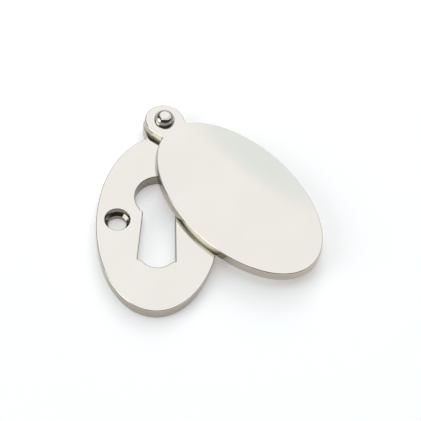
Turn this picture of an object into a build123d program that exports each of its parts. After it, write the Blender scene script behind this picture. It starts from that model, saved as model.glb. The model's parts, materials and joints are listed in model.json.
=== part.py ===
# Keyhole escutcheon with a swing cover, in millimetres.
# The flat oval plate lies on its back at z = 0 with +Z out of the door. Its oval is centred on the origin
# and +Y runs from there to the pivot. The cover is drawn swung aside, as it is held to use the key.
from build123d import *

import math
import os

# base plate
plate_half_width = 13.7
plate_half_height = 23.0
plate_thickness = 2.85
plate_lug_radius = 4.9
plate_edge_break = 0.25
pivot_rise = 3.5

# the neck that leads each lug into its oval
neck_taper = 16.0
neck_corner_radius = 0.4

# keyhole
keyhole_round_y = 5.75
keyhole_round_radius = 5.6
slot_top_half_width = 3.35
slot_foot_half_width = 4.1
slot_foot_y = -10.7
slot_shoulder_width = 1.0
slot_shoulder_drop = 0.4
slot_bow_depth = 1.4
keyhole_edge_break = 0.12

# screw holes
screw_x = 9.05
screw_y = -1.0
screw_hole_radius = 2.05
screw_recess_radius = 2.9
screw_recess_depth = 1.2
screw_sink_angle = 100.0

# swing cover
cover_swing = 40.95
cover_overhang = 0.7
cover_gap = 0.1
cover_rim_thickness = 2.05
cover_wall_slope = 8.5
cover_dome_rise = 1.7
cover_lug_radius = 4.5
cover_edge_break = 0.25
dome_land = 0.2

# pivot pin
shank_radius = 1.5
pivot_clearance = 0.05
head_radius = 2.4
head_height = 1.7
head_shoulder_radius = 1.65
head_play = 0.05
tail_flare = 0.8
tail_angle = 90.0

# places and heights that follow
pivot_y = plate_half_height + pivot_rise
cover_back_z = plate_thickness + cover_gap
cover_rim_z = cover_back_z + cover_rim_thickness
head_seat_z = cover_rim_z + head_play
head_top_z = head_seat_z + head_height
tail_radius = shank_radius + tail_flare
tail_depth = tail_flare / math.tan(math.radians(tail_angle / 2))

# the cover's back is the plate's oval with an even overhang, its wall slopes in to a smaller rim, and the
# dome stands just inside the rim's eased edge
cover_half_width = plate_half_width + cover_overhang
cover_half_height = plate_half_height + cover_overhang
wall_run = cover_rim_thickness * math.tan(math.radians(cover_wall_slope))
rim_half_width = cover_half_width - wall_run
rim_half_height = cover_half_height - wall_run
dome_inset = cover_edge_break + dome_land
dome_half_width = rim_half_width - dome_inset
dome_half_height = rim_half_height - dome_inset


def cover_plane(height):
    """A level plane on the pivot axis, turned with the cover: its -Y runs along the cover."""
    turn = math.radians(cover_swing)
    return Plane(
        origin=(0, pivot_y, height),
        x_dir=(math.cos(turn), math.sin(turn), 0),
        z_dir=(0, 0, 1),
    )


def draw_lug(radius):
    """A round lug about the pivot and the neck that leaves its sides in line and tapers into the oval."""
    taper = math.radians(neck_taper)
    side = radius * math.cos(taper)
    side_y = -radius * math.sin(taper)
    foot_y = -2 * pivot_rise
    foot = side + (foot_y - side_y) * math.tan(taper)
    Circle(radius)
    Polygon((side, side_y), (-side, side_y), (-foot, foot_y), (foot, foot_y), align=None)


def neck_corners(part):
    """The two edges where the neck meets the oval, next nearest to the pivot after the lug's own."""
    level = part.edges().filter_by(Plane.XY)
    return (part.edges() - level).sort_by_distance((0, pivot_y, 0))[2:4]


# Base plate: the oval and its lug in one thickness
with BuildPart() as base_plate:
    with BuildSketch():
        Ellipse(plate_half_width, plate_half_height)
        with Locations((0, pivot_y)):
            draw_lug(plate_lug_radius)
    extrude(amount=plate_thickness)
    fillet(neck_corners(base_plate), neck_corner_radius)
    plate_rim = base_plate.faces().sort_by(Axis.Z)[-1].outer_wire()
    chamfer(plate_rim.edges(), plate_edge_break)

    # the keyhole: a round head over a slot that flares towards a bowed foot between two shoulders
    bow_half_width = slot_foot_half_width - slot_shoulder_width
    bow_y = slot_foot_y - slot_shoulder_drop
    with BuildSketch():
        with BuildLine():
            Polyline(
                (bow_half_width, bow_y),
                (slot_foot_half_width, slot_foot_y),
                (slot_top_half_width, keyhole_round_y),
                (-slot_top_half_width, keyhole_round_y),
                (-slot_foot_half_width, slot_foot_y),
                (-bow_half_width, bow_y),
            )
            bow_bottom = (0, bow_y - slot_bow_depth)
            ThreePointArc((-bow_half_width, bow_y), bow_bottom, (bow_half_width, bow_y))
        make_face()
        with Locations((0, keyhole_round_y)):
            Circle(keyhole_round_radius)
    extrude(amount=plate_thickness, mode=Mode.SUBTRACT)
    keyhole_rim = base_plate.faces().sort_by(Axis.Z)[-1].inner_wires()[0]
    chamfer(keyhole_rim.edges(), keyhole_edge_break)

    # two screw holes from the front, each countersunk at the bottom of a straight recess
    with Locations((-screw_x, screw_y, plate_thickness), (screw_x, screw_y, plate_thickness)):
        Hole(screw_recess_radius, depth=screw_recess_depth)
    sink_z = plate_thickness - screw_recess_depth
    with Locations((-screw_x, screw_y, sink_z), (screw_x, screw_y, sink_z)):
        CounterSinkHole(screw_hole_radius, screw_recess_radius, counter_sink_angle=screw_sink_angle)

    # the riveting hole, countersunk from the back for the pin's tail
    with Locations(Plane(origin=(0, pivot_y, 0), x_dir=(1, 0, 0), z_dir=(0, 0, -1))):
        CounterSinkHole(shank_radius, tail_radius, counter_sink_angle=tail_angle)
base_plate.part.label = "base_plate"

# Dome: the arc across the cover is swung along the flatter arc of its length and cut off level at the rim,
# where the two arcs leave an oval
with BuildPart() as dome:
    with BuildSketch(Plane.XZ):
        with BuildLine():
            brow = ThreePointArc((-dome_half_width, 0), (0, cover_dome_rise), (dome_half_width, 0))
            Polyline(
                brow @ 0,
                (-dome_half_width, -cover_rim_thickness),
                (dome_half_width, -cover_rim_thickness),
                brow @ 1,
            )
        make_face()
    length_radius = (dome_half_height**2 + cover_dome_rise**2) / (2 * cover_dome_rise)
    revolve(axis=Axis((0, 0, cover_dome_rise - length_radius), (1, 0, 0)))
    split(bisect_by=Plane.XY, keep=Keep.TOP)

# Swing cover: a flat-backed slab whose wall slopes in to the rim, a lug flush with it, and the dome
with BuildPart() as swing_cover:
    with BuildSketch(cover_plane(cover_back_z)):
        with Locations((0, -pivot_y)):
            Ellipse(cover_half_width, cover_half_height)
    with BuildSketch(cover_plane(cover_rim_z)):
        with Locations((0, -pivot_y)):
            Ellipse(rim_half_width, rim_half_height)
    loft(ruled=True)
    with BuildSketch(cover_plane(cover_back_z)):
        draw_lug(cover_lug_radius)
    extrude(amount=cover_rim_thickness)
    fillet(neck_corners(swing_cover), neck_corner_radius)
    cover_rim = swing_cover.faces().sort_by(Axis.Z)[-1].outer_wire()
    chamfer(cover_rim.edges(), cover_edge_break)
    add(dome.part.moved(cover_plane(cover_rim_z).location * Location((0, -pivot_y, 0))))
    with Locations(cover_plane(cover_rim_z)):
        Hole(shank_radius + pivot_clearance)
swing_cover.part.label = "swing_cover"

# Pivot pin: rounded head, plain shank and a tail peened into the plate's back
with BuildPart() as pivot_pin:
    with BuildSketch(Plane.XZ.offset(-pivot_y)):
        with BuildLine():
            Polyline(
                (0, 0),
                (tail_radius, 0),
                (shank_radius, tail_depth),
                (shank_radius, head_seat_z),
                (head_radius, head_seat_z),
                (head_radius, head_top_z),
                (0, head_top_z),
                close=True,
            )
        profile = make_face()
        shoulder = profile.vertices().group_by(Axis.Y)[-1].sort_by(Axis.X)[-1]
        fillet(shoulder, head_shoulder_radius)
    revolve(axis=Axis((0, pivot_y, 0), (0, 0, 1)))
pivot_pin.part.label = "pivot_pin"

os.makedirs("parts", exist_ok=True)
export_step(base_plate.part, "parts/base_plate.step")
export_step(swing_cover.part, "parts/swing_cover.step")
export_step(pivot_pin.part, "parts/pivot_pin.step")
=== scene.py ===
# %% [markdown]
# # A keyhole escutcheon in polished nickel
#
# This is the small plate that dresses a keyhole on a door or a drawer. An oval cover hangs from a pin
# above the keyhole and swings aside to let a key in. The lesson builds its three pieces around a packed
# model, gives them a bright plated finish and lights them as a small product on a white table. Loading that
# model first gives the sizes, the hinge and the bodies that the new pieces move with.

# %% Load the frame
import json
import math

import bmesh
import bpy
from mathutils import Matrix, Vector


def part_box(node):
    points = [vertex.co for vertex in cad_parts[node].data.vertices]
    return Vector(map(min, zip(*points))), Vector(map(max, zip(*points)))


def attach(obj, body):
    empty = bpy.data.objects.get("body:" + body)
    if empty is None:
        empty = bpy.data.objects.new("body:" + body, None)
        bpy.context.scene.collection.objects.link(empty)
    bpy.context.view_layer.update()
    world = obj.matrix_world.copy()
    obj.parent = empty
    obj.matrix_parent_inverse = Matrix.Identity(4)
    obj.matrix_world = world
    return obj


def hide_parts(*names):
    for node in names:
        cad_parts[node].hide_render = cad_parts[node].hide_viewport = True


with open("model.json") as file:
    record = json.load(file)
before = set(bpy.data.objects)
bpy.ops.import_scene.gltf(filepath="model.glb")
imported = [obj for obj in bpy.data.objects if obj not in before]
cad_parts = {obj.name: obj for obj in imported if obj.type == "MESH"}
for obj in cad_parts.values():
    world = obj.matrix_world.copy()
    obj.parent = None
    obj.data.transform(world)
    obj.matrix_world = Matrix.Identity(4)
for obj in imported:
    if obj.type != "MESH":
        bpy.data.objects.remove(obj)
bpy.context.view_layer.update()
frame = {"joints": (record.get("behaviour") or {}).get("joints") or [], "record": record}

# %% [markdown]
# ## Sizes
#
# The plate's outline, the heights and the hinge are read from the loaded pieces, so that the looks follow
# the construction. Sizes that a box doesn't tell, such as the keyhole's, are repeated where they are needed.
# The pieces could be modelled in metres at once, but many mesh operators have tolerances that are too coarse
# for shapes a few thousandths of a unit wide. So they are modelled in millimetres and scaled at the end.

# %% Read the plate's sizes
MM = 0.001


def box_mm(node):
    """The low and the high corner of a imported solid's box."""
    low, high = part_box(node)
    return low / MM, high / MM


hinge = next(joint for joint in frame["joints"] if joint["name"] == "cover_swing")
pivot = Vector(hinge["pos_m"]) / MM
plate_low, plate_high = box_mm("base_plate")
plate_half_width = plate_high.x
plate_half_height = -plate_low.y
plate_top = plate_high.z
plate_lug_radius = plate_high.y - pivot.y
plate_size = f"{2 * plate_half_width:.1f} x {2 * plate_half_height:.1f} x {plate_top:.2f} mm"
print("plate", plate_size, "with its pivot at", round(pivot.y, 2))

# %% [markdown]
# ## Corner of the neck
#
# Plate and cover have the same kind of outline: an oval, a round lug about the pivot, and a short neck that
# leaves the lug in line with its sides, tapers a little and runs into the oval. A small arc softens the
# corner there. A bevel of one vertex only rounds within the two edges that meet at it, and the oval's edges
# are short, so the arc is drawn apart. Halving an angle finds where it touches both the oval and the neck.

# %% Find the neck's corner
CORNER_RADIUS = 0.4
NECK_TAPER = math.radians(16)
NECK_SIDE = Vector((math.cos(NECK_TAPER), -math.sin(NECK_TAPER), 0))
HALVINGS = 40


def corner_arc(half_width, half_height, lug_radius):
    """Where the right-hand corner's arc touches the oval, its centre, and where it meets the neck."""
    side, top = 0.0, math.pi / 2
    for _ in range(HALVINGS):
        angle = (side + top) / 2
        touch = Vector((half_width * math.cos(angle), half_height * math.sin(angle), 0))
        outward = Vector((math.cos(angle) / half_width, math.sin(angle) / half_height, 0))
        centre = touch + outward.normalized() * CORNER_RADIUS
        if (centre - pivot).dot(NECK_SIDE) > lug_radius + CORNER_RADIUS:
            side = angle
        else:
            top = angle
    return touch, centre, centre - NECK_SIDE * CORNER_RADIUS


plate_corner = corner_arc(plate_half_width, plate_half_height, plate_lug_radius)
print("plate's neck: its corner touches the oval at", [round(part, 2) for part in plate_corner[0].xy])

# %% [markdown]
# ## Outline of the plate
#
# A boolean union of the oval, the neck and the lug would do, but it leaves uneven edges that show in a
# mirror finish. Here the oval and the lug are circles, each cut level where the next stretch touches it. A
# spun vertex draws the small arc of each corner, and the ends are welded into one level face.

# %% Draw the plate's outline
OVAL_STEPS = 288
LUG_STEPS = 120
CORNER_STEPS = 8
ON_PLANE = 0.0005
WELD = 0.02
LEVEL_CUT = (0, 1, 0)


def edges_of(verts):
    """Every edge that ends at one of these corners, once."""
    return list(dict.fromkeys(edge for vert in verts for edge in vert.link_edges))


def circle_part(bm, centre, radius, segments, cut, keep_above):
    """A circle of which the part above or below a level cut is kept."""
    ring = bmesh.ops.create_circle(bm, segments=segments, radius=radius)["verts"]
    bmesh.ops.translate(bm, vec=centre, verts=ring)
    bmesh.ops.bisect_plane(bm, geom=ring + edges_of(ring), dist=ON_PLANE, plane_co=cut, plane_no=LEVEL_CUT,
                           clear_inner=keep_above, clear_outer=not keep_above)


def draw_arc(bm, start, centre, angle, steps):
    """Spin one vertex about an upright axis."""
    vert = bm.verts.new(start)
    bmesh.ops.spin(bm, geom=[vert], cent=centre, axis=(0, 0, 1), angle=angle, steps=steps,
                   use_merge=False, use_duplicate=False)


def close_outline(bm):
    """Weld the ends of an outline's stretches and make them one level face."""
    bmesh.ops.remove_doubles(bm, verts=bm.verts[:], dist=WELD)
    bmesh.ops.contextual_create(bm, geom=bm.edges[:])


def oval_with_lug(half_width, half_height, lug_radius):
    """A new bmesh that holds one level face: the oval about the origin and its lug at the pivot."""
    bm = bmesh.new()
    touch, centre, neck_foot = corner_arc(half_width, half_height, lug_radius)
    neck_top = pivot + NECK_SIDE * lug_radius
    unit_cut = Vector((0, touch.y / half_height, 0))
    circle_part(bm, (0, 0, 0), 1, OVAL_STEPS, unit_cut, keep_above=False)
    bmesh.ops.scale(bm, vec=(half_width, half_height, 1), verts=bm.verts[:])
    circle_part(bm, pivot, lug_radius, LUG_STEPS, neck_top, keep_above=True)
    turn = (touch - centre).xy.angle_signed((neck_foot - centre).xy)
    for side in (1, -1):
        flip = Vector((side, 1, 1))
        draw_arc(bm, touch * flip, centre * flip, -turn * side, CORNER_STEPS)
        bm.edges.new([bm.verts.new(point * flip) for point in (neck_foot, neck_top)])
    close_outline(bm)
    return bm


plate_bm = oval_with_lug(plate_half_width, plate_half_height, plate_lug_radius)
print("plate's outline:", len(plate_bm.verts), "corners round", len(plate_bm.faces), "face")

# %% [markdown]
# ## Slab of the plate
#
# The real plate is cast or cut from thick brass. A cube or a cylinder could be cut to its shape, but
# extruding the outline keeps it exactly and takes one step. The first face stays behind as the back, so
# that the slab is closed.

# %% Raise the plate
def only(items, kind):
    """Those of an operator's results that are of one kind."""
    return [item for item in items if isinstance(item, kind)]


def raise_slab(bm, bottom, top):
    """Extrude the bmesh's one level face into a closed slab."""
    bmesh.ops.translate(bm, vec=(0, 0, bottom), verts=bm.verts[:])
    raised = bmesh.ops.extrude_face_region(bm, geom=bm.faces[:], use_keep_orig=True)["geom"]
    bmesh.ops.translate(bm, vec=(0, 0, top - bottom), verts=only(raised, bmesh.types.BMVert))
    bmesh.ops.recalc_face_normals(bm, faces=bm.faces[:])


raise_slab(plate_bm, 0, plate_top)
print("plate's slab:", round(plate_bm.calc_volume()), "cubic mm before its openings")

# %% [markdown]
# ## Eased edges
#
# A polishing wheel rounds every edge a little. That thin roll catches a dark or a bright line and is most
# of what makes metal look solid. A modifier could make it, but it would work on all that comes later too. So
# a bevel with several segments rounds the rim alone. A loop in the wall below the roll and a very narrow
# ring inset beside it keep the smooth shading inside the roll, so that the flats stay perfectly flat
# mirrors. Both flats are then opened, because their openings are still to come.

# %% Ease the plate's edges
HOLD = 0.03
PLATE_EASE = 0.25
EASE_SEGMENTS = 6
BACK_EASE = 0.04
BACK_SEGMENTS = 2


def at_height(items, height):
    """Those edges or faces of which every corner lies at one height."""
    return [item for item in items if all(abs(vert.co.z - height) < ON_PLANE for vert in item.verts)]


def hold_walls(bm, height):
    """Cut one level loop round the walls."""
    geom = bm.verts[:] + bm.edges[:] + bm.faces[:]
    bmesh.ops.bisect_plane(bm, geom=geom, dist=ON_PLANE, plane_co=(0, 0, height), plane_no=(0, 0, 1))


def round_edges(bm, edges, radius, segments):
    """Bevel edges into a round."""
    bmesh.ops.bevel(bm, geom=edges, offset=radius, offset_type="OFFSET", segments=segments, profile=0.5,
                    affect="EDGES", clamp_overlap=False, material=-1)


def ease_rim(bm, height, radius, segments):
    """Round the slab's rim at one height, hold the flat beside it with a ring, and open that flat."""
    round_edges(bm, at_height(bm.edges, height), radius, segments)
    flat = max(at_height(bm.faces, height), key=lambda face: face.calc_area())
    bmesh.ops.inset_region(bm, faces=[flat], thickness=HOLD, use_even_offset=True)
    bmesh.ops.delete(bm, geom=[flat], context="FACES_ONLY")


def ease_slab(bm, bottom, top, front_ease):
    """Roll a slab's front edge, break its back edge slightly and leave both flats open."""
    hold_walls(bm, top - front_ease - HOLD)
    hold_walls(bm, bottom + BACK_EASE + HOLD)
    ease_rim(bm, top, front_ease, EASE_SEGMENTS)
    ease_rim(bm, bottom, BACK_EASE, BACK_SEGMENTS)


ease_slab(plate_bm, 0, plate_top, PLATE_EASE)
print("plate's edges:", len(plate_bm.faces), "faces, with a roll of", PLATE_EASE, "mm at the front")

# %% [markdown]
# ## Outline of the keyhole
#
# The keyhole has a round head for the key's shank, over a slot that flares to a bowed foot between two
# small shoulders. Points set by hand could trace it, but its round stretches would not be true arcs. So it
# is drawn as the plate's outline is: a circle cut level, an arc for the bow and straight stretches between
# them. Where the slot's sides reach the circle is worked out, so that the stretches meet without a gap.

# %% Draw the keyhole's outline
KEYHOLE_ROUND_Y = 5.75
KEYHOLE_ROUND_RADIUS = 5.6
SLOT_TOP_HALF_WIDTH = 3.35
SLOT_FOOT_HALF_WIDTH = 4.1
SLOT_FOOT_Y = -10.7
SLOT_SHOULDER_WIDTH = 1.0
SLOT_SHOULDER_DROP = 0.4
SLOT_BOW_DEPTH = 1.4
ROUND_STEPS = 128
BOW_STEPS = 24


def slot_meets_round():
    """Where the slot's right-hand side reaches the round head's circle."""
    flare = (SLOT_FOOT_HALF_WIDTH - SLOT_TOP_HALF_WIDTH) / (KEYHOLE_ROUND_Y - SLOT_FOOT_Y)
    square = 1 + flare**2
    half_linear = flare * SLOT_TOP_HALF_WIDTH
    rest = SLOT_TOP_HALF_WIDTH**2 - KEYHOLE_ROUND_RADIUS**2
    drop = (math.sqrt(half_linear**2 - square * rest) - half_linear) / square
    return Vector((SLOT_TOP_HALF_WIDTH + flare * drop, KEYHOLE_ROUND_Y - drop, 0))


def keyhole_outline():
    """A new bmesh that holds the keyhole as one level face."""
    bm = bmesh.new()
    corner = slot_meets_round()
    circle_part(bm, (0, KEYHOLE_ROUND_Y, 0), KEYHOLE_ROUND_RADIUS, ROUND_STEPS, corner, keep_above=True)
    bow_half_width = SLOT_FOOT_HALF_WIDTH - SLOT_SHOULDER_WIDTH
    bow_y = SLOT_FOOT_Y - SLOT_SHOULDER_DROP
    bow_radius = (bow_half_width**2 + SLOT_BOW_DEPTH**2) / (2 * SLOT_BOW_DEPTH)
    bow_centre = Vector((0, bow_y - SLOT_BOW_DEPTH + bow_radius, 0))
    bow_sweep = 2 * math.asin(bow_half_width / bow_radius)
    draw_arc(bm, (-bow_half_width, bow_y, 0), bow_centre, bow_sweep, BOW_STEPS)
    for side in (1, -1):
        along = [(side * corner.x, corner.y, 0), (side * SLOT_FOOT_HALF_WIDTH, SLOT_FOOT_Y, 0),
                 (side * bow_half_width, bow_y, 0)]
        verts = [bm.verts.new(point) for point in along]
        for first, second in zip(verts, verts[1:]):
            bm.edges.new((first, second))
    close_outline(bm)
    return bm


keyhole_bm = keyhole_outline()
print("keyhole's outline:", len(keyhole_bm.verts), "corners round", len(keyhole_bm.faces), "face")

# %% [markdown]
# ## Cutting the keyhole
#
# A boolean could cut the keyhole, but it leaves long thin faces beside the cut, which shade badly on a
# mirror. Here the outline's face starts at the back and climbs to the front in steps. A straight step
# extrudes it, and a step that widens is an inset with a negative thickness, which rolls the lip over. At
# the end the caps are deleted, and the wall that is left joins the plate.

# %% Cut the keyhole
KEYHOLE_LIP = 0.2
LIP_SEGMENTS = 3


def lip_steps(radius):
    """The (outward, up) steps of a quarter round that turns a wall over into the face above it."""
    angles = [math.pi / 2 * step / LIP_SEGMENTS for step in range(LIP_SEGMENTS + 1)]
    return [(radius * (math.cos(low) - math.cos(high)), radius * (math.sin(high) - math.sin(low)))
            for low, high in zip(angles, angles[1:])]


def climb(bm, cap, steps):
    """Carry an opening's cap through (outward, up) steps, then delete the caps it leaves."""
    left = []
    for outward, up in steps:
        if outward:
            bmesh.ops.inset_region(bm, faces=[cap], thickness=-outward, use_boundary=True,
                                   use_even_offset=True)
        else:
            left.append(cap)
            raised = bmesh.ops.extrude_face_region(bm, geom=[cap])["geom"]
            cap = only(raised, bmesh.types.BMFace)[0]
        bmesh.ops.translate(bm, vec=(0, 0, up), verts=cap.verts[:])
    caps = [face for face in left + [cap] if face.is_valid]
    bmesh.ops.delete(bm, geom=caps, context="FACES_ONLY")


keyhole_steps = [(0, plate_top - KEYHOLE_LIP)] + lip_steps(KEYHOLE_LIP) + [(HOLD, 0)]
climb(keyhole_bm, keyhole_bm.faces[:][0], keyhole_steps)
print("keyhole's wall:", len(keyhole_bm.faces), "faces")
keyhole_mesh = bpy.data.meshes.new("keyhole_wall")
keyhole_bm.to_mesh(keyhole_mesh)
keyhole_bm.free()
plate_bm.from_mesh(keyhole_mesh)
bpy.data.meshes.remove(keyhole_mesh)

# %% [markdown]
# ## Screw holes
#
# The plate is screwed on through a hole on each side of the keyhole. Each hole widens to a cone, where a
# screw's head bears, at the bottom of a straight recess with an eased lip. A section that is spun round
# would do as well, but the steps of the keyhole serve here too: a circle climbs from the back, and the cone
# is one long step outwards and up.

# %% Cut the screw holes
RECESS_RADIUS = 2.9
RECESS_DEPTH = 1.2
SINK_SLOPE = math.radians(50)
SINK_LIP = 0.18
HOLE_STEPS = 96


def round_opening(bm, centre, radius, steps):
    """A round opening that starts at the given radius at the back."""
    ring = bmesh.ops.create_circle(bm, cap_ends=True, segments=HOLE_STEPS, radius=radius)["verts"]
    bmesh.ops.translate(bm, vec=centre, verts=ring)
    climb(bm, ring[0].link_faces[0], steps)


screws = next(mount for mount in frame["record"]["mounts"] if mount["name"] == "screw_holes")
hole_radius = screws["dims"]["hole_r_mm"]
screw_x = screws["dims"]["spacing_x_mm"] / 2
screw_y = screws["pos_m"][1] / MM
cone = RECESS_RADIUS - SINK_LIP - hole_radius
cone_height = cone / math.tan(SINK_SLOPE)
shank_way = plate_top - RECESS_DEPTH - cone_height
recess_steps = [(0, RECESS_DEPTH - SINK_LIP)] + lip_steps(SINK_LIP) + [(HOLD, 0)]
screw_steps = [(0, shank_way), (cone, cone_height)] + recess_steps
for side in (1, -1):
    round_opening(plate_bm, (side * screw_x, screw_y, 0), hole_radius, screw_steps)
print("screw holes:", 2 * hole_radius, "mm wide and", 2 * screw_x, "mm apart")

# %% [markdown]
# ## Riveting hole
#
# The pin's tail is peened into a countersink at the back of the plate's lug. The hole for it climbs like
# the others, first inwards and up and then straight. The flare could match the pin exactly, but faces that
# share a place flicker in a render, so the hole is a hair wider all the way.

# %% Cut the riveting hole
SHANK_RADIUS = 1.5
TAIL_FLARE = 0.8
RIVET_SEAM = 0.03

rivet_radius = SHANK_RADIUS + TAIL_FLARE + RIVET_SEAM
rivet_steps = [(-TAIL_FLARE, TAIL_FLARE), (0, plate_top - TAIL_FLARE)]
round_opening(plate_bm, pivot, rivet_radius, rivet_steps)
print("riveting hole:", round(2 * rivet_radius, 2), "mm wide at the back")

# %% [markdown]
# ## Flats of the plate
#
# Front and back are still open between the rim's ring and the lips of the openings. Rings of quads could
# bridge them, but on a true plane any faces give the same mirror, so one triangle fill closes each side. It
# takes all the loops at one height together, and that is what leaves the openings open.

# %% Close the plate's flats
def fill_flat(bm, height):
    """Close the open loops at one height with one flat field that leaves the openings open."""
    loops = [edge for edge in at_height(bm.edges, height) if edge.is_boundary]
    filled = bmesh.ops.triangle_fill(bm, use_beauty=True, use_dissolve=False, edges=loops, normal=(0, 0, 1))
    return len(filled["geom"])


print("plate's front:", fill_flat(plate_bm, plate_top), "new edges and faces")
print("plate's back:", fill_flat(plate_bm, 0), "new edges and faces")

# %% [markdown]
# ## Painted shade on walls and openings
#
# Walls and the insides of openings get a darker nickel tone, which is painted shade: it stands in for the
# shaded table and the dark hollows that they reflect. The walls are also rougher, as the wheel hardly meets
# them. More materials could show that, but they would meet in hard borders. Here each face keeps two numbers
# in the mesh, which say how far it is a wall or part of an opening, and one material reads both.

# %% Mark the plate's walls and openings
WALL_SURE = 0.2
WALL_ENDS = 0.6
LEVEL_FACE = 0.985
OPENING_REACH = 0.92


# the wall share darkens the colour as painted shade and also raises the roughness
def mark_walls(bm):
    """Write how far each face counts as a wall, from 0 on the flats to 1 on upright faces."""
    wall = bm.faces.layers.float.new("wall")
    for face in bm.faces:
        share = (WALL_ENDS - abs(face.normal.z)) / (WALL_ENDS - WALL_SURE)
        face[wall] = min(max(share, 0), 1)
    return sum(face[wall] > 0 for face in bm.faces)


# this share darkens the colour as painted shade
def mark_opening_shade(bm, half_width, half_height, share=1):
    """Write a share on every sloping or upright face that lies well inside an oval about the origin."""
    opening = bm.faces.layers.float.new("opening")
    for face in bm.faces:
        middle = face.calc_center_median()
        reach = math.hypot(middle.x / half_width, middle.y / half_height)
        inside = reach < OPENING_REACH and abs(face.normal.z) < LEVEL_FACE
        face[opening] = share if inside else 0
    return sum(face[opening] > 0 for face in bm.faces)


print("plate's walls:", mark_walls(plate_bm), "faces")
print("plate's openings:", mark_opening_shade(plate_bm, plate_half_width, plate_half_height), "faces")

# %% [markdown]
# ## Finishing a piece
#
# Every piece ends the same way: doubles are welded, faces are turned outwards, crisp corners are marked
# so that smooth shading stops there, and the mesh is scaled from millimetres to metres. The object's own
# scale could do that last step, but a finished piece keeps its size and its place in its mesh, so that the
# pattern on it doesn't slide when it is exported. The piece then takes the place of its plain counterpart
# and moves with the same body.

# %% Finish the plate
CRISP = math.radians(38)
SHUT = 0.0001

scene = bpy.context.scene


def finish_piece(bm, name, body, node):
    """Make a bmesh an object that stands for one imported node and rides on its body."""
    bmesh.ops.remove_doubles(bm, verts=bm.verts[:], dist=SHUT)
    bmesh.ops.recalc_face_normals(bm, faces=bm.faces[:])
    for face in bm.faces:
        face.smooth = True
    for edge in bm.edges:
        edge.smooth = edge.calc_face_angle(math.pi) < CRISP
    bmesh.ops.scale(bm, vec=(MM, MM, MM), verts=bm.verts[:])
    open_edges = sum(not edge.is_manifold for edge in bm.edges)
    mesh = bpy.data.meshes.new(name)
    bm.to_mesh(mesh)
    print(f"{name}: {len(bm.faces)} faces, {open_edges} open edges, {bm.calc_volume() / MM**3:.0f} cubic mm")
    bm.free()
    piece = bpy.data.objects.new(name, mesh)
    scene.collection.objects.link(piece)
    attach(piece, body)
    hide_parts(node)
    return piece


plate = finish_piece(plate_bm, "plate_dressed", "plate", "base_plate")

# %% [markdown]
# ## Swing cover
#
# The cover is a second slab with the same kind of outline, a little larger than the plate, and it hangs
# just above it. Its wall slopes in to the rim, so the outline at the rim is smaller than at the foot. Two
# outlines could be bridged, but they would have to match corner by corner. So the slab is first raised
# upright on the rim's outline, with the same helpers as the plate.

# %% Raise the cover
COVER_OVERHANG = 0.7
COVER_RIM_THICKNESS = 2.05
COVER_WALL_SLOPE = math.radians(8.5)
COVER_LUG_RADIUS = 4.5

cover_low, cover_high = box_mm("swing_cover")
cover_bottom = cover_low.z
cover_rim = cover_bottom + COVER_RIM_THICKNESS
wall_run = COVER_RIM_THICKNESS * math.tan(COVER_WALL_SLOPE)
rim_half_width = plate_half_width + COVER_OVERHANG - wall_run
rim_half_height = plate_half_height + COVER_OVERHANG - wall_run

cover_bm = oval_with_lug(rim_half_width, rim_half_height, COVER_LUG_RADIUS)
raise_slab(cover_bm, cover_bottom, cover_rim)
print("cover's slab:", round(cover_bm.calc_volume()), "cubic mm before its wall leans")

# %% [markdown]
# ## Sloping wall of the cover
#
# Above a short upright foot the wall slopes in to the rim, most round the oval and less round the lug, where
# the foot is higher. Scaling the foot up would lean the wall unevenly, because an oval isn't as wide as it
# is high. So a waist is cut into the wall, and all from there down is set straight out from the wall. It
# stops a hair short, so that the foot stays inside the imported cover's oval.

# %% Lean the cover's wall
COVER_EASE = 0.24
WALL_WAIST = 0.14
HAIR = 0.015
UPRIGHT = 0.5
LUG_LEAN = 0.65
LUG_WAIST_RISE = 0.9


def lean_walls(bm, waist, run, foot_y, top_y):
    """Set the walls out up to a waist, fully round the oval, and less but higher round the lug."""
    moves = []
    for vert in bm.verts:
        if vert.co.z > waist + ON_PLANE:
            continue
        walls = [face.normal for face in vert.link_faces if abs(face.normal.z) < UPRIGHT]
        lug = 1 - min(max((top_y - vert.co.y) / (top_y - foot_y), 0), 1)
        move = sum(walls, Vector()).normalized() * run * (1 + (LUG_LEAN - 1) * lug)
        if abs(vert.co.z - waist) < ON_PLANE:
            move.z = LUG_WAIST_RISE * lug
        moves.append((vert, move))
    for vert, move in moves:
        vert.co += move


cover_waist = cover_bottom + WALL_WAIST
touch, _, neck_foot = corner_arc(rim_half_width, rim_half_height, COVER_LUG_RADIUS)
hold_walls(cover_bm, cover_waist)
lean_walls(cover_bm, cover_waist, wall_run - HAIR, touch.y, neck_foot.y)
ease_slab(cover_bm, cover_bottom, cover_rim, COVER_EASE)
print("cover's wall: leans by", round(wall_run - HAIR, 2), "mm and has", len(cover_bm.faces), "faces")

# %% [markdown]
# ## Dome
#
# A low dome fills the oval inside the cover's rolled rim. It could be a flattened sphere, but its lines
# would not meet the oval. Here the oval loop itself is extruded inwards, ring by ring, while it shrinks and
# rises. A first narrow ring holds the crease at the dome's foot.

# %% Raise the dome
DOME_RINGS = 32
DOME_EDGE = 0.01


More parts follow.
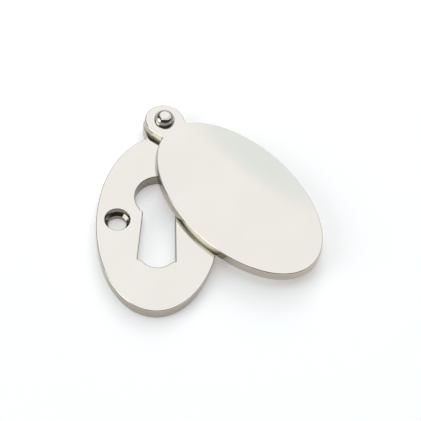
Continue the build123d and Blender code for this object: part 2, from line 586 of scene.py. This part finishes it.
def raise_dome(bm, half_width, half_height, foot, rise):
    """Rings of the oval that shrink and rise to a crown above the origin."""
    loop = bmesh.ops.create_circle(bm, segments=OVAL_STEPS, radius=1)["verts"]
    bmesh.ops.scale(bm, vec=(half_width, half_height, 1), verts=loop)
    bmesh.ops.translate(bm, vec=(0, 0, foot), verts=loop)
    edges = edges_of(loop)
    shares = [1, 1 - DOME_EDGE] + [1 - (ring + 1) / DOME_RINGS for ring in range(DOME_RINGS - 1)]
    for outer, inner in zip(shares, shares[1:]):
        grown = bmesh.ops.extrude_edge_only(bm, edges=edges)["geom"]
        loop = only(grown, bmesh.types.BMVert)
        edges = only(grown, bmesh.types.BMEdge)
        bmesh.ops.scale(bm, vec=(inner / outer, inner / outer, 1), verts=loop)
        bmesh.ops.translate(bm, vec=(0, 0, rise * (outer**2 - inner**2)), verts=loop)
    crown = bmesh.ops.extrude_edge_only(bm, edges=edges)["geom"]
    bmesh.ops.pointmerge(bm, verts=only(crown, bmesh.types.BMVert), merge_co=(0, 0, foot + rise))


dome_rise = cover_high.z - cover_rim
dome_inset = COVER_EASE + 2 * HOLD
raise_dome(cover_bm, rim_half_width - dome_inset, rim_half_height - dome_inset, cover_rim, dome_rise)
print("dome:", round(dome_rise, 2), "mm high in", DOME_RINGS, "rings")

# %% [markdown]
# ## Hanging the cover
#
# The pin's shank passes through the cover's lug with a little room to turn. Up to here the cover lay
# straight over the keyhole, where both its halves are alike and easy to draw. Now it is swung about the
# pivot to where it is held to use the key. The object could be turned in place of its mesh, but then the
# pattern on it would turn when the piece is exported.

# %% Hang the cover
PIVOT_CLEARANCE = 0.05
COVER_SWING = math.radians(40.95)

lug_back = Vector((0, pivot.y, cover_bottom))
pin_way = [(0, COVER_RIM_THICKNESS)]
round_opening(cover_bm, lug_back, SHANK_RADIUS + PIVOT_CLEARANCE, pin_way)
print("cover's front:", fill_flat(cover_bm, cover_rim), "new edges and faces")
print("cover's back:", fill_flat(cover_bm, cover_bottom), "new edges and faces")
swing = Matrix.Rotation(COVER_SWING, 3, "Z")
bmesh.ops.rotate(cover_bm, cent=pivot, matrix=swing, verts=cover_bm.verts[:])
print("cover's walls:", mark_walls(cover_bm), "faces")
cover = finish_piece(cover_bm, "cover_dressed", "cover", "swing_cover")

# %% [markdown]
# ## Pivot pin
#
# A shouldered rivet is turned on a lathe, and a spin is the lathe of a mesh: half of the section goes once
# round the axis. Cylinders and cones could be stacked, but their ends would have to be joined. The spin
# gives one closed skin, and only the doubles on the axis need a weld.

# %% Turn the pin
HEAD_RADIUS = 2.4
HEAD_HEIGHT = 1.7
PIN_STEPS = 128

head_top = box_mm("pivot_pin")[1].z
head_seat = head_top - HEAD_HEIGHT
tail_radius = SHANK_RADIUS + TAIL_FLARE
half_section = [(0, head_top), (HEAD_RADIUS, head_top), (HEAD_RADIUS, head_seat), (SHANK_RADIUS, head_seat),
                (SHANK_RADIUS, TAIL_FLARE), (tail_radius, 0), (0, 0)]

pin_bm = bmesh.new()
section = [pin_bm.verts.new((radius, 0, height)) for radius, height in half_section]
stretches = [pin_bm.edges.new(pair) for pair in zip(section, section[1:])]
bmesh.ops.spin(pin_bm, geom=section + stretches, cent=(0, 0, 0), axis=(0, 0, 1), angle=2 * math.pi,
               steps=PIN_STEPS, use_merge=True, use_duplicate=False)
bmesh.ops.remove_doubles(pin_bm, verts=pin_bm.verts[:], dist=SHUT)
bmesh.ops.recalc_face_normals(pin_bm, faces=pin_bm.faces[:])
print("pin:", round(head_top, 2), "mm long, its head", 2 * HEAD_RADIUS, "mm wide")

# %% [markdown]
# ## Head of the pin
#
# The button head has a full round shoulder, and its foot has lost its sharp edge. The round could be part
# of the spun section, but a bevel of one ring of edges is shorter and stays easy to change. Its sloping
# faces get half of the openings' darker tone, as painted shade that keeps the head dark.

# %% Round the pin's head
HEAD_SHOULDER = 1.65
SHOULDER_SEGMENTS = 24
HEAD_FOOT_EASE = 0.08
SHOULDER_SHADE = 0.5


def round_ring(bm, radius, height, offset, segments):
    """Round one ring of edges of a turned piece."""
    ring = [edge for edge in at_height(bm.edges, height)
            if all(abs(vert.co.xy.length - radius) < ON_PLANE for vert in edge.verts)]
    round_edges(bm, ring, offset, segments)


round_ring(pin_bm, HEAD_RADIUS, head_top, HEAD_SHOULDER, SHOULDER_SEGMENTS)
round_ring(pin_bm, HEAD_RADIUS, head_seat, HEAD_FOOT_EASE, BACK_SEGMENTS)
# a circle twice as wide as the head takes in the whole pin
around_pin = 2 * HEAD_RADIUS
# half of the openings' darker tone on the sloping faces is painted shade
print("pin's shade_painted faces:", mark_opening_shade(pin_bm, around_pin, around_pin, SHOULDER_SHADE))
bmesh.ops.translate(pin_bm, vec=pivot, verts=pin_bm.verts[:])
pin = finish_piece(pin_bm, "pin_dressed", "plate", "pivot_pin")

# %% [markdown]
# ## Marks of the polishing wheel
#
# Even a bright plated face isn't a perfect mirror, and one that is looks false. The wheel leaves a fine
# grain along one direction, slow waves that bend the reflections, and a faintly cloudy tint. The nodes for
# them could stand in the material itself, but a node group keeps them apart from its colours, and a second
# finish of the same metal could use them with a grain of another size.

# %% Start a group for the marks
def add_node(tree, kind, **settings):
    """A new node with some of its settings."""
    made = tree.nodes.new(kind)
    for name, value in settings.items():
        setattr(made, name, value)
    return made


polish_group = bpy.data.node_groups.new("wheel_polish", "ShaderNodeTree")
sockets = polish_group.interface
sockets.new_socket("Vector", in_out="INPUT", socket_type="NodeSocketVector")
sockets.new_socket("Grain Scale", in_out="INPUT", socket_type="NodeSocketFloat")
for name in ("Waves", "Grain", "Cloud"):
    sockets.new_socket(name, in_out="OUTPUT", socket_type="NodeSocketFloat")
group_in = add_node(polish_group, "NodeGroupInput")
group_out = add_node(polish_group, "NodeGroupOutput")
print("group:", polish_group.name, "with the sockets", [item.name for item in sockets.items_tree])

# %% [markdown]
# ## Waves, grain and clouds
#
# The three marks differ mostly in size. The waves and the clouds are broad soft noise, and the grain is fine
# noise that is squeezed across the way the wheel runs. Painted images could hold these marks, but noise
# needs no unwrapping and has no seams.

# %% Fill the group with noise
WAVE_SCALE = 60
WAVE_DETAIL = 1
GRAIN_STRETCH = (1, 14, 1)
GRAIN_DETAIL = 4
CLOUD_SCALE = 90
CLOUD_DETAIL = 2


def feed(tree, source, target):
    """Link a socket, or set a plain value."""
    if isinstance(source, bpy.types.NodeSocket):
        tree.links.new(source, target)
    else:
        target.default_value = source


def noise(tree, vector, scale, detail):
    """Soft noise from 0 to 1."""
    made = add_node(tree, "ShaderNodeTexNoise")
    feed(tree, vector, made.inputs["Vector"])
    feed(tree, scale, made.inputs["Scale"])
    feed(tree, detail, made.inputs["Detail"])
    return made.outputs["Fac"]


place = group_in.outputs["Vector"]
stretch = add_node(polish_group, "ShaderNodeMapping")
stretch.inputs["Scale"].default_value = GRAIN_STRETCH
feed(polish_group, place, stretch.inputs["Vector"])
waves = noise(polish_group, place, WAVE_SCALE, WAVE_DETAIL)
grain = noise(polish_group, stretch.outputs["Vector"], group_in.outputs["Grain Scale"], GRAIN_DETAIL)
cloud = noise(polish_group, place, CLOUD_SCALE, CLOUD_DETAIL)
feed(polish_group, waves, group_out.inputs["Waves"])
feed(polish_group, grain, group_out.inputs["Grain"])
feed(polish_group, cloud, group_out.inputs["Cloud"])
print("group:", len(polish_group.nodes), "nodes and", len(polish_group.links), "links")

# %% [markdown]
# ## Polished nickel
#
# Nickel plate is a warm, slightly yellow white metal. One colour all over would give that, but every face
# would look the same. Here the clouds mix two tints that are close to each other, and the numbers on the
# faces mix in a darker tone for walls and the darkest for openings. Both are painted shade.

# %% Tint the nickel
NICKEL = (0.70, 0.67, 0.61, 1)
NICKEL_WARM = (0.69, 0.655, 0.59, 1)
# the wall and opening tones below are painted shade, darker than the nickel itself
NICKEL_WALL_SHADE = (0.47, 0.42, 0.36, 1)
NICKEL_OPENING_SHADE = (0.33, 0.30, 0.26, 1)
GRAIN_SCALE = 900
CLOUD_RANGE = (0.35, 0.65)


def map_range(tree, value, from_min, from_max, to_min, to_max, smooth=False):
    """Carry a value from one range to another, in a straight line or with soft ends."""
    made = add_node(tree, "ShaderNodeMapRange", interpolation_type="SMOOTHSTEP" if smooth else "LINEAR")
    for socket, number in zip(made.inputs, (value, from_min, from_max, to_min, to_max)):
        feed(tree, number, socket)
    return made.outputs["Result"]


def mix_colour(tree, mask, first, second):
    """The first colour where the mask is 0 and the second where it is 1."""
    made = add_node(tree, "ShaderNodeMix", data_type="RGBA")
    feed(tree, mask, made.inputs["Factor"])
    feed(tree, first, made.inputs["A"])
    feed(tree, second, made.inputs["B"])
    return made.outputs["Result"]


nickel = bpy.data.materials.new("nickel_polish")
nickel.use_nodes = True
metal = nickel.node_tree
metal_shader = metal.nodes["Principled BSDF"]
metal_shader.inputs["Metallic"].default_value = 1
metal_place = add_node(metal, "ShaderNodeTexCoord")
polish = add_node(metal, "ShaderNodeGroup", node_tree=polish_group)
feed(metal, metal_place.outputs["Object"], polish.inputs["Vector"])
feed(metal, GRAIN_SCALE, polish.inputs["Grain Scale"])
wall_mask = add_node(metal, "ShaderNodeAttribute", attribute_name="wall").outputs["Fac"]
opening_shade_mask = add_node(metal, "ShaderNodeAttribute", attribute_name="opening").outputs["Fac"]
cloud_mask = map_range(metal, polish.outputs["Cloud"], *CLOUD_RANGE, 0, 1)
tint = mix_colour(metal, cloud_mask, NICKEL, NICKEL_WARM)
# painted shade: the wall and opening marks darken the nickel's colour
tint = mix_colour(metal, wall_mask, tint, NICKEL_WALL_SHADE)
tint = mix_colour(metal, opening_shade_mask, tint, NICKEL_OPENING_SHADE)
feed(metal, tint, metal_shader.inputs["Base Color"])
print("nickel:", len(metal.nodes), "nodes for its tint")

# %% [markdown]
# ## Gloss
#
# The face is close to a mirror, and the grain makes its roughness a little uneven. Walls are rougher, as the
# wheel hardly meets them. The slow waves go into a weak bump, which bends the reflections but not the shape.
# Real waves in the mesh would bend them too, but would need very many more faces.

# %% Set the nickel's gloss
GRAIN_RANGE = (0.3, 0.7)
MIRROR_ROUGHNESS = (0.04, 0.08)
SATIN_ROUGHNESS = (0.10, 0.16)
WAVE_STRENGTH = 0.02
WAVE_HEIGHT = 0.0002

mirror = map_range(metal, polish.outputs["Grain"], *GRAIN_RANGE, *MIRROR_ROUGHNESS)
satin = map_range(metal, polish.outputs["Grain"], *GRAIN_RANGE, *SATIN_ROUGHNESS)
gloss = map_range(metal, wall_mask, 0, 1, mirror, satin)
feed(metal, gloss, metal_shader.inputs["Roughness"])
bump = add_node(metal, "ShaderNodeBump")
feed(metal, WAVE_STRENGTH, bump.inputs["Strength"])
feed(metal, WAVE_HEIGHT, bump.inputs["Distance"])
feed(metal, polish.outputs["Waves"], bump.inputs["Height"])
feed(metal, bump.outputs["Normal"], metal_shader.inputs["Normal"])
pieces = (plate, cover, pin)
for piece in pieces:
    piece.data.materials.append(nickel)
print("material:", nickel.name, "on", [piece.name for piece in pieces])

# %% [markdown]
# ## White table
#
# The object lies on a wide table that looks white to the camera. More light would whiten it, but would wash
# out the metal too. So the table is a dull pale plane that glows a little, and only for what the camera
# sees, straight or in the metal. The glow is too weak to hide the object's shadow.

# %% Lay the table
FLOOR_HALF = 3.0
FLOOR_COLOUR = (0.9, 0.9, 0.9, 1)
FLOOR_GLOW = (1, 1, 1, 1)
FLOOR_LIFT = 0.31


def camera_or_mirror(tree):
    """1 for what the camera sees, straight or in a mirror or glass."""
    path = add_node(tree, "ShaderNodeLightPath")
    total = path.outputs["Is Camera Ray"]
    for name in ("Is Glossy Ray", "Is Transmission Ray"):
        both = add_node(tree, "ShaderNodeMath", operation="MAXIMUM")
        feed(tree, total, both.inputs[0])
        feed(tree, path.outputs[name], both.inputs[1])
        total = both.outputs["Value"]
    return total


def white_table():
    """A dull pale surface that glows for the camera and in mirrors."""
    material = bpy.data.materials.new("white_table")
    material.use_nodes = True
    tree = material.node_tree
    shader = tree.nodes["Principled BSDF"]
    shader.inputs["Base Color"].default_value = FLOOR_COLOUR
    shader.inputs["Roughness"].default_value = 1
    shader.inputs["Specular IOR Level"].default_value = 0
    shader.inputs["Emission Color"].default_value = FLOOR_GLOW
    lift = map_range(tree, camera_or_mirror(tree), 0, 1, 0, FLOOR_LIFT)
    feed(tree, lift, shader.inputs["Emission Strength"])
    return material


floor_bm = bmesh.new()
bmesh.ops.create_grid(floor_bm, x_segments=1, y_segments=1, size=FLOOR_HALF)
floor_mesh = bpy.data.meshes.new("table")
floor_bm.to_mesh(floor_mesh)
floor_bm.free()
table = bpy.data.objects.new("table", floor_mesh)
scene.collection.objects.link(table)
table.data.materials.append(white_table())
print("table:", 2 * FLOOR_HALF, "m wide")

# %% [markdown]
# ## The room
#
# Metal shows the whole room, so the room matters more than any lamp. Walls could be modelled, but a sky
# that is painted by direction is quicker to adjust. The bare room is dark, which draws the dark lines round
# the edges and the pin. In the metal alone it is pale round the horizon, so that the flats don't turn black
# when they are seen from low down on any side.

# %% Paint the room
DARK_ROOM = 0.03
MIRRORED_ROOM = 0.05
PALE_HORIZON = 0.5
HORIZON_FULL = 20
HORIZON_GONE = 38


def towards(azimuth, elevation):
    """The direction from the object: azimuth 0 is the front, 90 the right and 180 the back."""
    around = math.radians(azimuth)
    above = math.radians(elevation)
    level = math.cos(above)
    return Vector((math.sin(around) * level, -math.cos(around) * level, math.sin(above)))


def facing(tree, place, azimuth, elevation, name):
    """How far each direction of the sky points to one side, from -1 to 1."""
    made = add_node(tree, "ShaderNodeVectorMath", operation="DOT_PRODUCT", label=name)
    feed(tree, place.outputs["Generated"], made.inputs[0])
    made.inputs[1].default_value = towards(azimuth, elevation)
    return made.outputs["Value"]


def bare_room(tree, place):
    """The room's own grey: dark as a light, and in a mirror pale all round the horizon."""
    low, high = (math.sin(math.radians(angle)) for angle in (HORIZON_FULL, HORIZON_GONE))
    up = facing(tree, place, 0, 90, "up")
    mirrored = map_range(tree, up, low, high, PALE_HORIZON, MIRRORED_ROOM, smooth=True)
    return map_range(tree, camera_or_mirror(tree), 0, 1, DARK_ROOM, mirrored)


world = bpy.data.worlds.new("studio")
world.use_nodes = True
sky = world.node_tree
sky_place = add_node(sky, "ShaderNodeTexCoord")
sky_colour = bare_room(sky, sky_place)
print("room:", DARK_ROOM, "as a light, and in the metal", PALE_HORIZON, "up to", HORIZON_FULL, "degrees")

# %% [markdown]
# ## Studio cards
#
# A photographer hangs white cards round a bright object, and their reflections shape it. Here each card is
# a round patch of sky with a soft edge. The white wall behind lies in the flats and the dome, and a dip in
# it greys the dome's far side. The window on the left, a patch of ceiling and a strip on the right give the
# round edges, the pin and the openings their small lights. Bright planes could do the same, but would show
# up as shapes in other views. The camera itself sees white all round.

# %% Hang the cards
SKY_WHITE = (1.0, 1.0, 1.0, 1)
STUDIO_CARDS = [
    # name, azimuth, elevation, inner and outer angle, colour
    ("white wall behind", 162, 60, 34, 42, (1.23, 1.253, 1.297, 1)),
    ("grey dip", 160, 31, 3, 17, (1.07, 1.147, 1.195, 1)),
    ("window", -73, 27, 18, 24, (2.45, 2.7, 2.65, 1)),
    ("ceiling", -85, 75, 7, 13, (2.0, 2.0, 1.9, 1)),
    ("right strip", 68, 14, 5, 13, (0.8, 0.8, 0.8, 1)),
]

for name, azimuth, elevation, inner, outer, shade in STUDIO_CARDS:
    share = facing(sky, sky_place, azimuth, elevation, name)
    edge, middle = math.cos(math.radians(outer)), math.cos(math.radians(inner))
    card = map_range(sky, share, edge, middle, 0, 1, smooth=True)
    sky_colour = mix_colour(sky, card, sky_colour, shade)
sky_path = add_node(sky, "ShaderNodeLightPath")
seen = mix_colour(sky, sky_path.outputs["Is Camera Ray"], sky_colour, SKY_WHITE)
feed(sky, seen, sky.nodes["Background"].inputs["Color"])
scene.world = world
scene.view_settings.view_transform = "Standard"
print("sky cards:", [settings[0] for settings in STUDIO_CARDS])

# %% [markdown]
# ## Lamps
#
# The sky alone leaves the table flat. Two large soft lamps, one high on the left and one low behind, light
# it and lay the object's shadow to the front and the right. A sun would draw it too sharp. The lamps are
# kept out of the metal, where the cards already do their work.

# %% Set the lamps
LAMPS = [
    # name, azimuth, elevation, distance, size, power
    ("left fill", -90, 60, 0.6, 0.5, 0.28),
    ("back fill", 172, 30, 0.6, 0.3, 0.71),
]


def soft_lamp(name, azimuth, elevation, distance, size, power):
    """A square lamp that faces the object and doesn't show in the metal."""
    data = bpy.data.lights.new(name, "AREA")
    data.size = size
    data.energy = power
    lamp = bpy.data.objects.new(name, data)
    scene.collection.objects.link(lamp)
    away = towards(azimuth, elevation)
    turn = away.to_track_quat("Z", "Y").to_matrix().to_4x4()
    lamp.matrix_world = Matrix.Translation(away * distance) @ turn
    lamp.visible_glossy = False
    return lamp


lamps = [soft_lamp(*settings) for settings in LAMPS]
print("lamps:", [lamp.name for lamp in lamps])

# %% [markdown]
# ## Camera
#
# The photo looks down at the object from a little left of its middle, slightly rolled. The angles, the
# distance and the focal length were fitted together to the outlines in the photo. A camera could be aimed
# with a constraint, but plain angles can be read and changed one by one.

# %% Place the camera
CAMERA_AZIMUTH = -8.086
CAMERA_ELEVATION = 55.284
CAMERA_ROLL = math.radians(10.696)
CAMERA_DISTANCE = 204.35 * MM
CAMERA_TARGET = Vector((11.67, 5.02, 0)) * MM
CAMERA_LENS = 76.98
CAMERA_SENSOR = 36
CAMERA_NEAR = 0.01

camera_data = bpy.data.cameras.new("camera")
camera_data.sensor_width = CAMERA_SENSOR
camera_data.lens = CAMERA_LENS
camera_data.clip_start = CAMERA_NEAR
camera = bpy.data.objects.new("camera", camera_data)
scene.collection.objects.link(camera)
back = towards(CAMERA_AZIMUTH, CAMERA_ELEVATION)
aim = (-back).to_track_quat("-Z", "Y").to_matrix().to_4x4()
camera.matrix_world = (Matrix.Translation(CAMERA_TARGET + back * CAMERA_DISTANCE) @ aim
                       @ Matrix.Rotation(CAMERA_ROLL, 4, "Z"))
scene.camera = camera
print("camera at", [round(part / MM, 1) for part in camera.matrix_world.translation], "mm")
